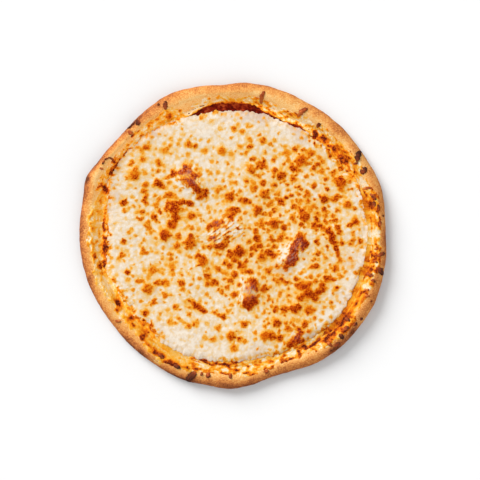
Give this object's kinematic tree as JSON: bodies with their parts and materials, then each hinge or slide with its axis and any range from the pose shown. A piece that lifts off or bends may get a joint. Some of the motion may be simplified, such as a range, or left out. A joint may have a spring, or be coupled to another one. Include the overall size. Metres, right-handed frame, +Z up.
{
  "type": "whole cheese pizza",
  "caption": "Round baked pizza, whole and uncut: raised browned dough rim, thin tomato sauce, and a blistered sheet of melted cheese.",
  "frame": {"origin": "middle of the box at the flat underside, on the surface that the pizza lies on", "axes": "+Z up through the cheese; +X to the right and +Y to the top of the picture, which looks straight down"},
  "size_m": [0.3566, 0.3556, 0.0197],
  "materials": {
    "baked_dough": "dry matt baked dough, golden to brown, with burnt cheese shreds",
    "tomato_sauce": "thick moist tomato sauce, dark red",
    "melted_cheese": "oily melted cheese, cream with golden and brown baked spots"
  },
  "bodies": {
    "root": {"crust": "baked_dough", "sauce": "tomato_sauce", "cheese": "melted_cheese"}
  },
  "joints": []
}
